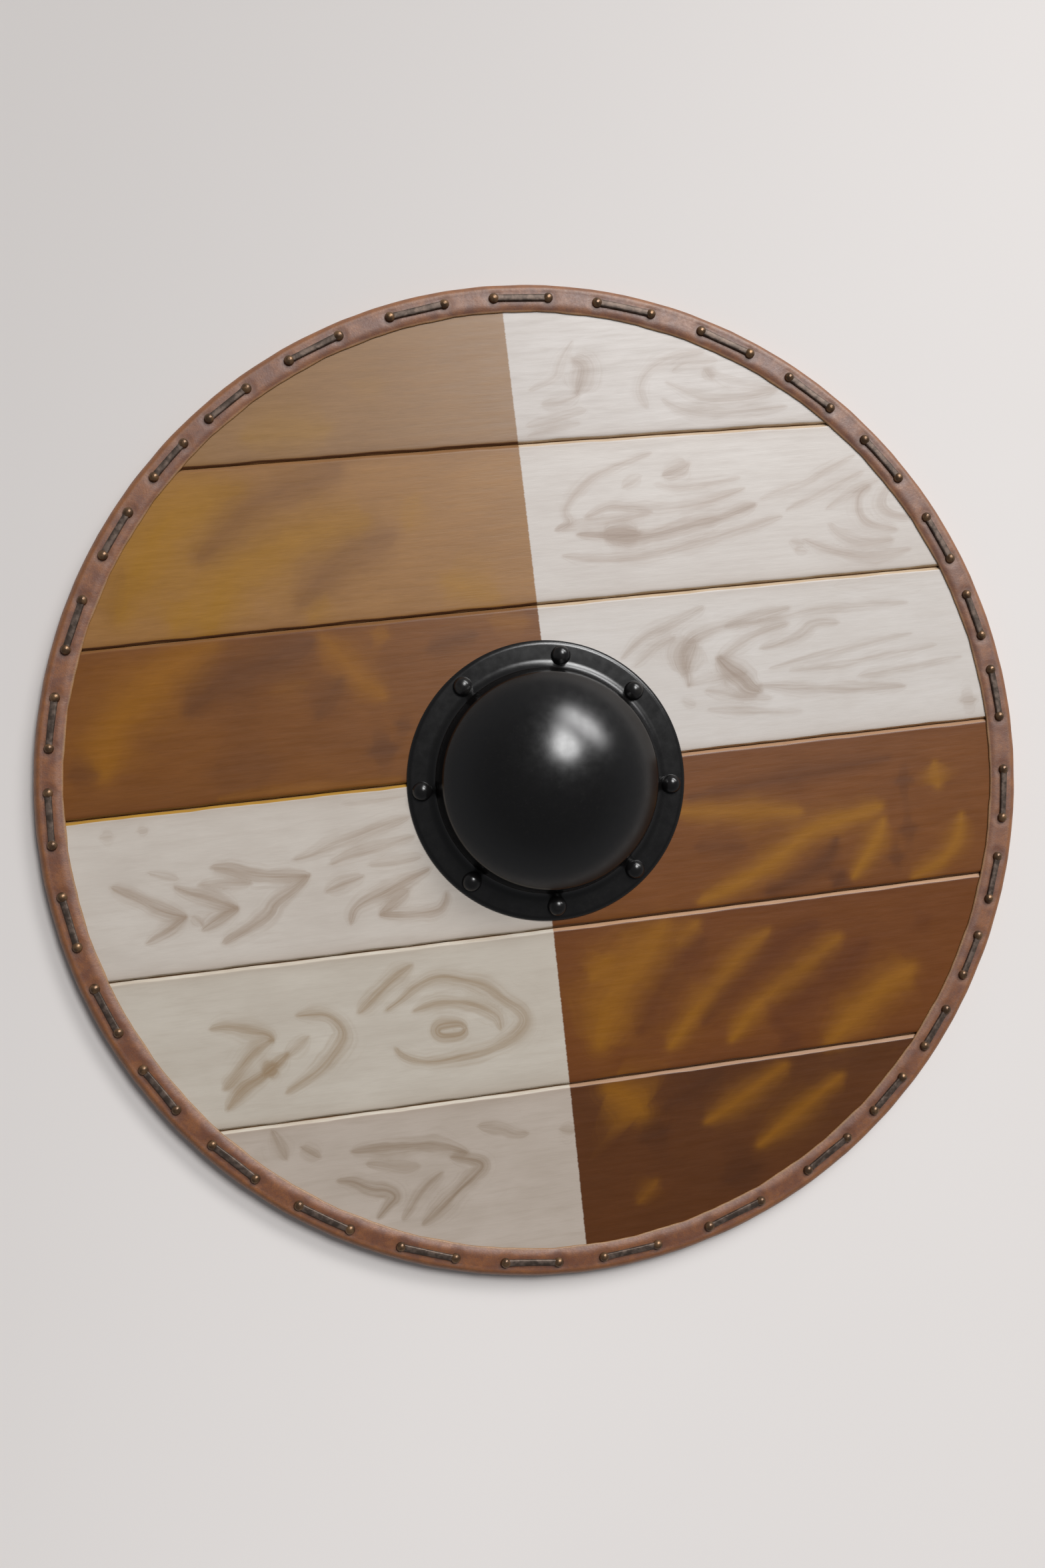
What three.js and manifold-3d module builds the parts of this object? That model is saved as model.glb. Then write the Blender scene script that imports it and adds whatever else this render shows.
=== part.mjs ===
// A wooden round shield, lying face up. Millimetres, +Z up, origin under the middle of the rim.
// +X runs along the planks, and +Y across them, towards the first plank.
import * as THREE from "three";
import { mergeVertices } from "three/addons/utils/BufferGeometryUtils.js";
import Module from "manifold-3d";

const wasm = await Module();
wasm.setup();

// ---- Driving dimensions -------------------------------------------------------------------------

const FIT = 0.3; // clearance between pieces that touch
const ROUND = 64; // sides of the large circles, a multiple of four
const SECTORS = 24; // sides of the dish, which is too shallow to need more

const BOARD = {
  radius: 346.5,
  thickness: 8,
  rise: 12, // how much higher the middle lies than the edge
  seat: 2.8, // height of the underside at the edge
};

// Where each joint between two planks crosses the middle, and how much it slants.
const JOINTS = [
  { y: 236.3, slope: -0.0127 },
  { y: 122.7, slope: 0 },
  { y: 8.7, slope: 0 },
  { y: -103.4, slope: 0 },
  { y: -214.1, slope: 0 },
];
const JOINT_GAP = 0.4;
const GROOVE = { width: 4.6, depth: 2 };
const HAND_HOLE_RADIUS = 60;

const RIM = {
  outer: 350,
  inner: 329.5,
  leather: 2.5,
  crease: 343.8, // where the flat band ends and the rounded fold begins
  swell: 0.4, // how far the fold stands above the band there
};

// Middle of each clip, in degrees from +X: set out by hand, so the pitch wanders.
const CLIP_ANGLES = [
  4.5, 14.5, 25, 37, 49, 61, 74, 86.5, 99, 112, 124, 133.5, 144, 155.5, 167, 178, 190, 201, 212, 224,
  236.5, 249.5, 262, 274, 287.5, 301, 311.5, 321.5, 331.5, 341.5, 352,
];
const CLIP = {
  circle: 339, // radius of the circle that the clips lie on
  fill: 0.52, // share of the pitch between the clip's two nails
  strapWidth: 4.4,
  strapHeight: 1.3,
  strapLift: 0.2, // the heads bed a little deeper than the strap
  headRadius: 4,
  headHeight: 2.8,
};

const BOSS = {
  flange: 98,
  thickness: 1.8,
  wallFoot: 79.5,
  wallTop: 75.5,
  wallHeight: 17, // above the flange's underside
  fillet: 2.5,
  shoulder: 6, // radius of the bend between wall and dome
  shoulderEnd: 44, // degrees around that bend where the dome takes over
  height: 53, // above the flange's underside
};

// The rivets stand on one circle, at hand-marked places.
const RIVET_ANGLES = [77.5, 39.5, -8, -51.5, -92, -133.5, 178.5, 126];
const RIVET = {
  circle: 88,
  headRadius: 6.8,
  headHeight: 5.4,
  shank: 2.5,
  tailRadius: 4.2,
  tailHeight: 1.4,
};
const GRIP_RIVET = 4; // the rivet that also goes through the grip

const GRIP = {
  x: -3,
  width: 26,
  length: 590,
  back: 3, // height of its flat back above the rim's underside
  top: 20, // height of its top in the hand hole
  corner: 6,
};
const GRIP_NAILS = [270, 165, 92, -160, -270]; // places along the grip, one in each other plank
const NAIL = { headRadius: 4, headHeight: 1.2, shank: 1.6, bite: 5.5 };
const BOSS_SIDES = 32;
const HOLE_SIDES = 6;

// ---- Solids and materials -----------------------------------------------------------------------

// A closed three.js geometry as a solid that can be joined and cut.
function solid(geometry) {
  const bare = geometry.clone();
  bare.deleteAttribute("normal");
  bare.deleteAttribute("uv");
  const merged = mergeVertices(bare, 1e-4);
  return new wasm.Manifold(
    new wasm.Mesh({
      numProp: 3,
      vertProperties: merged.attributes.position.array,
      triVerts: new Uint32Array(merged.index.array),
    }),
  );
}

function geometryOf(body) {
  const { vertProperties, triVerts } = body.getMesh();
  const geometry = new THREE.BufferGeometry();
  geometry.setAttribute("position", new THREE.BufferAttribute(vertProperties, 3));
  geometry.setIndex(new THREE.BufferAttribute(triVerts, 1));
  const flat = geometry.toNonIndexed();
  flat.computeVertexNormals();
  return flat;
}

const FINISHES = {
  paintedWood: { color: 0x8a5a28, roughness: 0.55, metalness: 0 },
  bareWood: { color: 0xa98455, roughness: 0.75, metalness: 0 },
  leather: { color: 0x80502f, roughness: 0.65, metalness: 0 },
  iron: { color: 0x3d342c, roughness: 0.5, metalness: 0.8 },
  blackSteel: { color: 0x1d1b1b, roughness: 0.35, metalness: 0.6 },
};

function piece(name, body, finish) {
  const mesh = new THREE.Mesh(geometryOf(body), new THREE.MeshStandardMaterial(FINISHES[finish]));
  mesh.name = name;
  return mesh;
}

// A profile of [radius, height] pairs turned about the Z axis.
function turned(profile, sides) {
  const points = profile.map(([r, z]) => new THREE.Vector2(r, z));
  return new THREE.LatheGeometry(points, sides).rotateX(Math.PI / 2);
}

// An upright prism between two heights.
function post(x, y, radius, low, high, sides) {
  const cylinder = new THREE.CylinderGeometry(radius, radius, high - low, sides).rotateX(Math.PI / 2);
  return solid(cylinder.translate(x, y, (low + high) / 2));
}

// A hole whose flat sides clear a round shank.
function shankHole(x, y, shank, low, high) {
  return post(x, y, (shank + FIT) / Math.cos(Math.PI / HOLE_SIDES), low, high, HOLE_SIDES);
}

function polar(radius, degrees) {
  const angle = THREE.MathUtils.degToRad(degrees);
  return [radius * Math.cos(angle), radius * Math.sin(angle)];
}

// A body with every cutter taken out of it.
function cut(body, cutters) {
  return cutters.reduce((rest, cutter) => rest.subtract(cutter), body);
}

// Points of an arc in a profile, from one angle to another, in degrees.
function arc(r, z, radius, from, to, steps) {
  return Array.from({ length: steps + 1 }, (_, i) => {
    const [dr, dz] = polar(radius, from + ((to - from) * i) / steps);
    return [r + dr, z + dz];
  });
}

// ---- Boards -------------------------------------------------------------------------------------

function boardBottom(r) {
  return BOARD.seat + BOARD.rise * (1 - (r / BOARD.radius) ** 2);
}

function boardTop(r) {
  return boardBottom(r) + BOARD.thickness;
}

// Rings of the dish. The last one lies just outside the boards' edge.
const DISH_RINGS = [0, RIVET.circle, 190, 285, BOARD.radius / Math.cos(Math.PI / SECTORS)];

// The whole dished board, before it is parted into planks.
function boardDisc() {
  const under = DISH_RINGS.map((r) => [r, boardBottom(r)]);
  const over = DISH_RINGS.map((r) => [r, boardTop(r)]).reverse();
  const dish = solid(turned([...under, ...over], SECTORS));
  return dish.intersect(post(0, 0, BOARD.radius, 0, 2 * boardTop(0), ROUND));
}

// The line of a joint: its place across the planks at a distance along them.
function jointY(joint, x) {
  return joint.y + joint.slope * x;
}

// An upright slab that holds one plank, between the joint above it and the joint below it.
function plankSlab(above, below) {
  const reach = RIM.outer;
  const upper = (x) => (above ? jointY(above, x) - JOINT_GAP / 2 : reach);
  const lower = (x) => (below ? jointY(below, x) + JOINT_GAP / 2 : -reach);
  const outline = new THREE.Shape([
    new THREE.Vector2(-reach, lower(-reach)),
    new THREE.Vector2(reach, lower(reach)),
    new THREE.Vector2(reach, upper(reach)),
    new THREE.Vector2(-reach, upper(-reach)),
  ]);
  const depth = boardTop(0) + FIT;
  return solid(new THREE.ExtrudeGeometry(outline, { depth, bevelEnabled: false }));
}

// The V-shaped cutter of one joint, which follows the dish along the planks.
function grooveCutter(joint) {
  const over = 3;
  const reach = RIM.outer;
  const half = (GROOVE.width / 2) * (1 + over / GROOVE.depth);
  const section = new THREE.Shape([
    new THREE.Vector2(0, GROOVE.depth),
    new THREE.Vector2(half, -over),
    new THREE.Vector2(-half, -over),
  ]);
  const crown = boardTop(joint.y);
  const ends = boardTop(Math.hypot(reach, joint.y));
  const path = new THREE.QuadraticBezierCurve3(
    new THREE.Vector3(-reach, jointY(joint, -reach), ends),
    new THREE.Vector3(0, joint.y, 2 * crown - ends),
    new THREE.Vector3(reach, jointY(joint, reach), ends),
  );
  return solid(new THREE.ExtrudeGeometry(section, { steps: 12, extrudePath: path }));
}

function planks(holes) {
  const disc = cut(boardDisc(), holes);
  const grooves = JOINTS.map(grooveCutter);
  return [...JOINTS, null].map((below, i) => {
    const body = disc.intersect(plankSlab(JOINTS[i - 1], below));
    return piece(`plank_${i + 1}`, cut(body, grooves.slice(Math.max(i - 1, 0), i + 1)), "paintedWood");
  });
}

// ---- Rim ----------------------------------------------------------------------------------------

// Height of the band's upper face.
function bandTop(r) {
  return boardTop(r) + FIT + RIM.leather;
}

// A strip of leather folded over the edge: a flat back, a rounded fold and a band on the front.
function rim() {
  const wall = BOARD.radius + FIT + 0.1;
  const turn = RIM.crease + 1;
  const foldHeight = bandTop(RIM.crease) + RIM.swell;
  const fold = arc(0, 0, 1, -90, 90, 4).map(([dr, dz]) => [
    turn + (RIM.outer - turn) * dr,
    (foldHeight / 2) * (1 + dz),
  ]);
  const profile = [
    [RIM.inner, 0],
    ...fold,
    [RIM.crease, bandTop(RIM.crease)],
    [RIM.inner, bandTop(RIM.inner)],
    [RIM.inner, boardTop(RIM.inner) + FIT],
    [wall, boardTop(wall) + FIT],
    [wall, boardBottom(wall) - 2 * FIT],
    [RIM.inner, boardBottom(RIM.inner) - 2 * FIT],
    [RIM.inner, 0],
  ];
  return piece("rim_leather", solid(turned(profile, ROUND)), "leather");
}

const CLIP_HEAD = [
  [0, 0],
  [CLIP.headRadius, 0],
  [CLIP.headRadius * 0.75, CLIP.headHeight * 0.7],
  [0, CLIP.headHeight],
];

// An iron strap along the rim between two domed nails, lying on the slope of the band.
function clip(index) {
  const count = CLIP_ANGLES.length;
  const before = CLIP_ANGLES[(index + count - 1) % count] - (index === 0 ? 360 : 0);
  const after = CLIP_ANGLES[(index + 1) % count] + (index === count - 1 ? 360 : 0);
  const [across, half] = polar(CLIP.circle, (CLIP.fill * (after - before)) / 4);
  const slope = Math.atan((bandTop(RIM.inner) - bandTop(RIM.crease)) / (RIM.crease - RIM.inner));
  const place = (geometry) =>
    solid(
      geometry
        .translate(across - CLIP.circle, 0, 0)
        .rotateY(slope)
        .translate(CLIP.circle, 0, bandTop(CLIP.circle) + FIT)
        .rotateZ(THREE.MathUtils.degToRad(CLIP_ANGLES[index])),
    );
  const { strapWidth, strapHeight, strapLift } = CLIP;
  const strap = new THREE.BoxGeometry(strapWidth, 2 * half - CLIP.headRadius, strapHeight);
  const body = place(strap.translate(0, 0, strapLift + strapHeight / 2))
    .add(place(turned(CLIP_HEAD, 6).translate(0, half, 0)))
    .add(place(turned(CLIP_HEAD, 6).translate(0, -half, 0)));
  return piece(`rim_clip_${String(index + 1).padStart(2, "0")}`, body, "iron");
}

// ---- Boss ---------------------------------------------------------------------------------------

// The wall leans in as it rises, by this many degrees.
const BOSS_LEAN = THREE.MathUtils.radToDeg(
  Math.atan2(BOSS.wallFoot - BOSS.wallTop, BOSS.wallHeight),
);

// Points from the top of the wall over the shoulder to just short of the crown, on a face that lies
// a depth below the outside. Heights are above the flange's underside.
function bossDome(depth) {
  const centre = [BOSS.wallTop - BOSS.shoulder, BOSS.wallHeight];
  const bend = arc(...centre, BOSS.shoulder - depth, BOSS_LEAN, BOSS.shoulderEnd, depth ? 1 : 2);
  const crown = BOSS.height - depth;
  const [edgeR, edgeZ] = bend.at(-1);
  const sagitta = crown - edgeZ;
  const sphere = (edgeR ** 2 + sagitta ** 2) / (2 * sagitta);
  const edge = THREE.MathUtils.radToDeg(Math.acos(edgeR / sphere));
  return [...bend, ...arc(0, crown - sphere, sphere, edge, 90, 4).slice(1, -1), [0, crown]];
}

function boss(holes) {
  const t = BOSS.thickness;
  const lean = THREE.MathUtils.degToRad(BOSS_LEAN);
  const filletZ = t + BOSS.fillet;
  const filletR = BOSS.wallFoot - filletZ * Math.tan(lean) + BOSS.fillet / Math.cos(lean);
  const profile = [
    ...bossDome(t).reverse(),
    [BOSS.wallFoot - t, 0],
    [BOSS.flange - t / 2, 0],
    [BOSS.flange, t / 2],
    [BOSS.flange - t / 2, t],
    ...arc(filletR, filletZ, BOSS.fillet, 270, 180 + BOSS_LEAN, 2),
    ...bossDome(0),
  ];
  // The flange is dressed to the boards, so every height follows their dish.
  const seated = profile.map(([r, z]) => [r, z + boardTop(r) + FIT]);
  return piece("boss", cut(solid(turned(seated, BOSS_SIDES)), holes), "blackSteel");
}

function bossRivet(index) {
  const head = boardTop(RIVET.circle) + FIT + BOSS.thickness + FIT;
  const tail = (index === GRIP_RIVET ? GRIP.back : boardBottom(RIVET.circle)) - FIT;
  const { headRadius, headHeight, shank, tailRadius, tailHeight } = RIVET;
  const profile = [
    [0, tail - tailHeight],
    [tailRadius * 0.7, tail - tailHeight],
    [tailRadius, tail],
    [shank, tail],
    [shank, head],
    [headRadius, head],
    [headRadius * 0.9, head + headHeight * 0.45],
    [headRadius * 0.55, head + headHeight * 0.87],
    [0, head + headHeight],
  ];
  const [x, y] = polar(RIVET.circle, RIVET_ANGLES[index]);
  const body = solid(turned(profile, 8).translate(x, y, 0));
  return piece(`boss_rivet_${index + 1}`, body, "blackSteel");
}

// The holes that the boss's rivets go through, in the flange, the boards and the grip.
function rivetHoles() {
  return RIVET_ANGLES.map((degrees) => {
    const [x, y] = polar(RIVET.circle, degrees);
    return shankHole(x, y, RIVET.shank, 0, boardTop(0) + RIVET.headHeight);
  });
}

// ---- Grip ---------------------------------------------------------------------------------------

// The space that the boards and their clearance take, outside the hand hole.
function boardSpace() {
  const ceiling = boardTop(0) + FIT;
  const under = DISH_RINGS.map((r) => [r, boardBottom(r) - FIT]);
  const disc = solid(turned([...under, [under.at(-1)[0], ceiling], [0, ceiling]], SECTORS));
  return disc.subtract(post(0, 0, HAND_HOLE_RADIUS - 4, 0, ceiling + FIT, 24));
}

// A bar across all the planks, flat behind, let into the dish and full height in the hand hole.
function grip(holes) {
  const half = GRIP.width / 2;
  const { back, top, corner } = GRIP;
  const section = new THREE.Shape();
  section.moveTo(-half + corner, back);
  section.lineTo(half - corner, back);
  section.quadraticCurveTo(half, back, half, back + corner);
  section.lineTo(half, top - corner);
  section.quadraticCurveTo(half, top, half - corner, top);
  section.lineTo(-half + corner, top);
  section.quadraticCurveTo(-half, top, -half, top - corner);
  section.lineTo(-half, back + corner);
  section.quadraticCurveTo(-half, back, -half + corner, back);
  const bar = new THREE.ExtrudeGeometry(section, {
    depth: GRIP.length,
    bevelEnabled: false,
    curveSegments: 2,
  });
  bar.rotateX(Math.PI / 2).translate(GRIP.x, GRIP.length / 2, 0);
  return piece("grip", cut(solid(bar), [boardSpace(), ...holes]), "bareWood");
}

function nailTip(y) {
  return boardBottom(Math.abs(y)) + NAIL.bite;
}

function gripNail(y, index) {
  const seat = GRIP.back - FIT;
  const profile = [
    [0, seat - NAIL.headHeight],
    [NAIL.headRadius, seat],
    [NAIL.shank, seat],
    [NAIL.shank, nailTip(y) - NAIL.shank],
    [0, nailTip(y)],
  ];
  const body = solid(turned(profile, 8).translate(GRIP.x, y, 0));
  return piece(`grip_nail_${index + 1}`, body, "iron");
}

function nailHoles() {
  return GRIP_NAILS.map((y) => shankHole(GRIP.x, y, NAIL.shank, 0, nailTip(y) + FIT));
}

// ---- Assembly -----------------------------------------------------------------------------------

const drilled = [...rivetHoles(), ...nailHoles()];
const handHole = post(0, 0, HAND_HOLE_RADIUS, 0, boardTop(0) + FIT, BOSS_SIDES);

const shield = new THREE.Group();
shield.add(...planks([handHole, ...drilled]), rim());
shield.add(...CLIP_ANGLES.map((_, index) => clip(index)));
shield.add(boss(rivetHoles()), ...RIVET_ANGLES.map((_, index) => bossRivet(index)));
shield.add(grip(drilled), ...GRIP_NAILS.map(gripNail));

export default shield;
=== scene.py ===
# A wooden round shield lying face up: the looks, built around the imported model.
# Lengths are metres in the row frame: +Z up, +X along the planks, +Y across them.
# Tables of places on the painted face are in millimetres, and MM turns them into metres.
import math

import bpy
import numpy as np
from mathutils import Matrix, Vector


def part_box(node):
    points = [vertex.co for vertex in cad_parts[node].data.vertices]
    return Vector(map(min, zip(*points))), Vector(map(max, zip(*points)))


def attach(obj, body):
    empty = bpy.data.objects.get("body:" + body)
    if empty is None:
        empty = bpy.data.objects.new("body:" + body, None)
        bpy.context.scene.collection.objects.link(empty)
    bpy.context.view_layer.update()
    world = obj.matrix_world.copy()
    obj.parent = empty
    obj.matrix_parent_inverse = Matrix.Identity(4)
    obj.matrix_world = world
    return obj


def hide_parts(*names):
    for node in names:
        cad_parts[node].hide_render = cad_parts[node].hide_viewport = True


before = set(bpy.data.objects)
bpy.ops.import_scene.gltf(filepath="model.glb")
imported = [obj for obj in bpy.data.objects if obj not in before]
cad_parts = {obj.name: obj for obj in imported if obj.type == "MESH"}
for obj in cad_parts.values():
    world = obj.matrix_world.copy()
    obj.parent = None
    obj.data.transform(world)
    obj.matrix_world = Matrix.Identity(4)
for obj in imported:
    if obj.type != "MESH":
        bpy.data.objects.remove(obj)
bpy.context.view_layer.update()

MM = 0.001


# ---- Measures read from the frame ----

def corners(node):
    """The corners of a CAD node, as an array."""
    return np.array([v.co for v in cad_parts[node].data.vertices], float)


def family(stem):
    """The CAD nodes whose names start alike, in order."""
    return sorted(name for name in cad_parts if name.startswith(stem))


def radii(points):
    return np.hypot(points[:, 0], points[:, 1])


PLANKS = family("plank_")
CLIPS = family("rim_clip_")
BOSS_RIVETS = family("boss_rivet_")
GRIP_NAILS = family("grip_nail_")

BOARDS = np.concatenate([corners(name) for name in PLANKS])
BOARD_RADIUS = radii(BOARDS).max()
BOARD_SEAT = BOARDS[:, 2].min()
HAND_HOLE = radii(BOARDS).min()

RIM = corners("rim_leather")
RIM_OUTER = radii(RIM).max()
RIM_INNER = radii(RIM).min()

BOARD_THICKNESS = 8 * MM
DISH_RISE = 12 * MM
LEATHER = 2.5 * MM
FIT = 0.3 * MM


def board_bottom(r):
    return BOARD_SEAT + DISH_RISE * (1 - (r / BOARD_RADIUS) ** 2)


def board_top(r):
    return board_bottom(r) + BOARD_THICKNESS


def band_top(r):
    """Height of the leather band's upper face."""
    return board_top(r) + FIT + LEATHER


# ---- Small tools ----

def srgb(red, green, blue):
    """A colour on the usual 0 to 255 scale as linear light."""
    def linear(value):
        value /= 255
        return value / 12.92 if value <= 0.04045 else ((value + 0.055) / 1.055) ** 2.4
    return (linear(red), linear(green), linear(blue), 1.0)


def waver(along, wavelength, amount, seed):
    """A smooth wander along a line: a few sines of unrelated lengths."""
    phases = np.random.default_rng(seed).uniform(0, 2 * math.pi, 4)
    total = sum(
        np.sin(2 * math.pi * along / (wavelength * stretch) + phase) / (i + 1)
        for i, (stretch, phase) in enumerate(zip((1, 0.61, 0.37, 0.23), phases))
    )
    return amount * total / 1.6  # which the sum seldom passes


def mesh_object(name, points, faces, materials, slots=None, sharp=35):
    """An object from corner points and faces of four (or more) corners."""
    mesh = bpy.data.meshes.new(name)
    mesh.from_pydata([tuple(p) for p in points], [], [tuple(f) for f in faces])
    for material in materials:
        mesh.materials.append(material)
    if slots is not None:
        mesh.polygons.foreach_set("material_index", np.asarray(slots, np.int32))
    mesh.polygons.foreach_set("use_smooth", np.ones(len(mesh.polygons), bool))
    mesh.set_sharp_from_angle(angle=math.radians(sharp))
    mesh.update()
    piece = bpy.data.objects.new(name, mesh)
    bpy.context.scene.collection.objects.link(piece)
    return piece


def skin(loops, closed_round=False):
    """Quads between neighbouring loops of corners, where loops is (count, corners, 3)."""
    count, around = loops.shape[:2]
    index = np.arange(count * around).reshape(count, around)
    index = np.concatenate([index, index[:, :1]], axis=1)
    if closed_round:
        index = np.concatenate([index, index[:1]], axis=0)
    quads = np.stack([index[:-1, :-1], index[1:, :-1], index[1:, 1:], index[:-1, 1:]], axis=-1)
    return loops.reshape(-1, 3), quads.reshape(-1, 4)


def turned(profile, sides, centre=(0, 0)):
    """A closed body: a profile of (radius, height) from axis to axis, turned about an upright line."""
    inner = [(r, z) for r, z in profile if r > 0]
    angles = np.linspace(0, 2 * math.pi, sides, endpoint=False)
    loops = np.array([[(centre[0] + r * math.cos(a), centre[1] + r * math.sin(a), z)
                       for a in angles] for r, z in inner])
    points, quads = skin(loops)
    faces = [tuple(q) for q in quads]
    last = len(points) - sides
    caps = [(*centre, profile[0][1]), (*centre, profile[-1][1])]
    points = np.concatenate([points, caps])
    for i in range(sides):
        j = (i + 1) % sides
        faces.append((len(points) - 2, j, i))
        faces.append((len(points) - 1, last + i, last + j))
    return points, [f[::-1] for f in faces]


def joined(parts):
    """Several bodies' corners and faces as one list of each."""
    faces, start = [], 0
    for points, part_faces in parts:
        faces += [tuple(i + start for i in face) for face in part_faces]
        start += len(points)
    return np.concatenate([points for points, _ in parts]), faces


def polar(degrees):
    """The cosine and sine of an angle in degrees."""
    return math.cos(math.radians(degrees)), math.sin(math.radians(degrees))


def arc(r, z, radius, start, end, steps):
    """Points of an arc in a profile, between two angles in degrees."""
    turns = (polar(a) for a in np.linspace(start, end, steps))
    return [(r + radius * c, z + radius * s) for c, s in turns]


def finish_piece(piece, slot, *nodes):
    """Puts a piece in place of its CAD nodes."""
    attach(piece, "root")
    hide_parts(*nodes)


# ---- Camera, floor and light ----

VIEW_YAW = math.radians(7.74)
VIEW_PITCH = math.radians(0.11)
VIEW_ROLL = math.radians(6.45)
VIEW_SHIFT = (15.2 * MM, 2.5 * MM)
VIEW_DISTANCE = 1113.6 * MM
FOCAL_SHARE = 1.0034  # focal length over the picture's height
EDGE_LEVEL = 7 * MM  # height of the rim's widest line


def add_camera():
    data = bpy.data.cameras.new("camera")
    data.sensor_fit = "VERTICAL"
    data.sensor_height = 36
    data.lens = data.sensor_height * FOCAL_SHARE
    turn = (Matrix.Rotation(VIEW_YAW, 3, "Y") @ Matrix.Rotation(VIEW_PITCH, 3, "X")
            @ Matrix.Rotation(VIEW_ROLL, 3, "Z"))
    camera = bpy.data.objects.new("camera", data)
    place = turn.transposed() @ Vector((-VIEW_SHIFT[0], -VIEW_SHIFT[1], VIEW_DISTANCE))
    place.z += EDGE_LEVEL
    camera.matrix_world = Matrix.Translation(place) @ turn.transposed().to_4x4()
    bpy.context.scene.collection.objects.link(camera)
    bpy.context.scene.camera = camera


LAMP_DISTANCE = 20.0


def add_softbox(name, direction, spread, radiance):
    """A round lamp that faces the shield's middle, seen from it under an angle in degrees."""
    data = bpy.data.lights.new(name, "AREA")
    data.shape = "DISK"
    data.size = 2 * LAMP_DISTANCE * math.tan(math.radians(spread / 2))
    data.energy = radiance * math.pi * math.pi * (data.size / 2) ** 2
    lamp = bpy.data.objects.new(name, data)
    towards = Vector(direction).normalized()
    lamp.location = towards * LAMP_DISTANCE
    lamp.rotation_euler = towards.to_track_quat("Z", "Y").to_euler()
    bpy.context.scene.collection.objects.link(lamp)


def add_room():
    """Grey walls and a darker ceiling, so that the black boss mirrors little but the lamps."""
    world = bpy.data.worlds.new("room")
    world.use_nodes = True
    tree = world.node_tree
    background = tree.nodes["Background"]
    background.inputs["Color"].default_value = (0.94, 0.96, 1.0, 1)
    direction = tree.nodes.new("ShaderNodeTexCoord")
    parts = tree.nodes.new("ShaderNodeSeparateXYZ")
    fade = tree.nodes.new("ShaderNodeMapRange")
    fade.interpolation_type = "SMOOTHSTEP"
    for end, height, strength in (("Min", 0.15, 0.24), ("Max", 0.75, 0.13)):
        fade.inputs["From " + end].default_value = height
        fade.inputs["To " + end].default_value = strength
    tree.links.new(direction.outputs["Generated"], parts.inputs[0])
    tree.links.new(parts.outputs[2], fade.inputs["Value"])
    tree.links.new(fade.outputs[0], background.inputs["Strength"])
    bpy.context.scene.world = world


# Lamps: the direction to each, its spread in degrees and its radiance. CLOUD is the bright bank
# beyond the key lamp.
KEY = ((0.31, 0.43, 0.85), 20, 17.5)
CLOUD = [
    ((0.27, 0.62, 0.74), 12, 8.3),
    ((0.38, 0.76, 0.53), 14, 7.5),
    ((0.48, 0.68, 0.55), 14, 8.3),
    ((0.61, 0.56, 0.56), 15, 10.8),
    ((0.72, 0.42, 0.55), 11, 6.7),
]


def add_light():
    add_softbox("key", *KEY)
    for number, lamp in enumerate(CLOUD, 1):
        add_softbox(f"cloud_{number}", *lamp)
    add_room()
    bpy.context.scene.view_settings.view_transform = "Standard"


# ---- Materials ----

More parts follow.
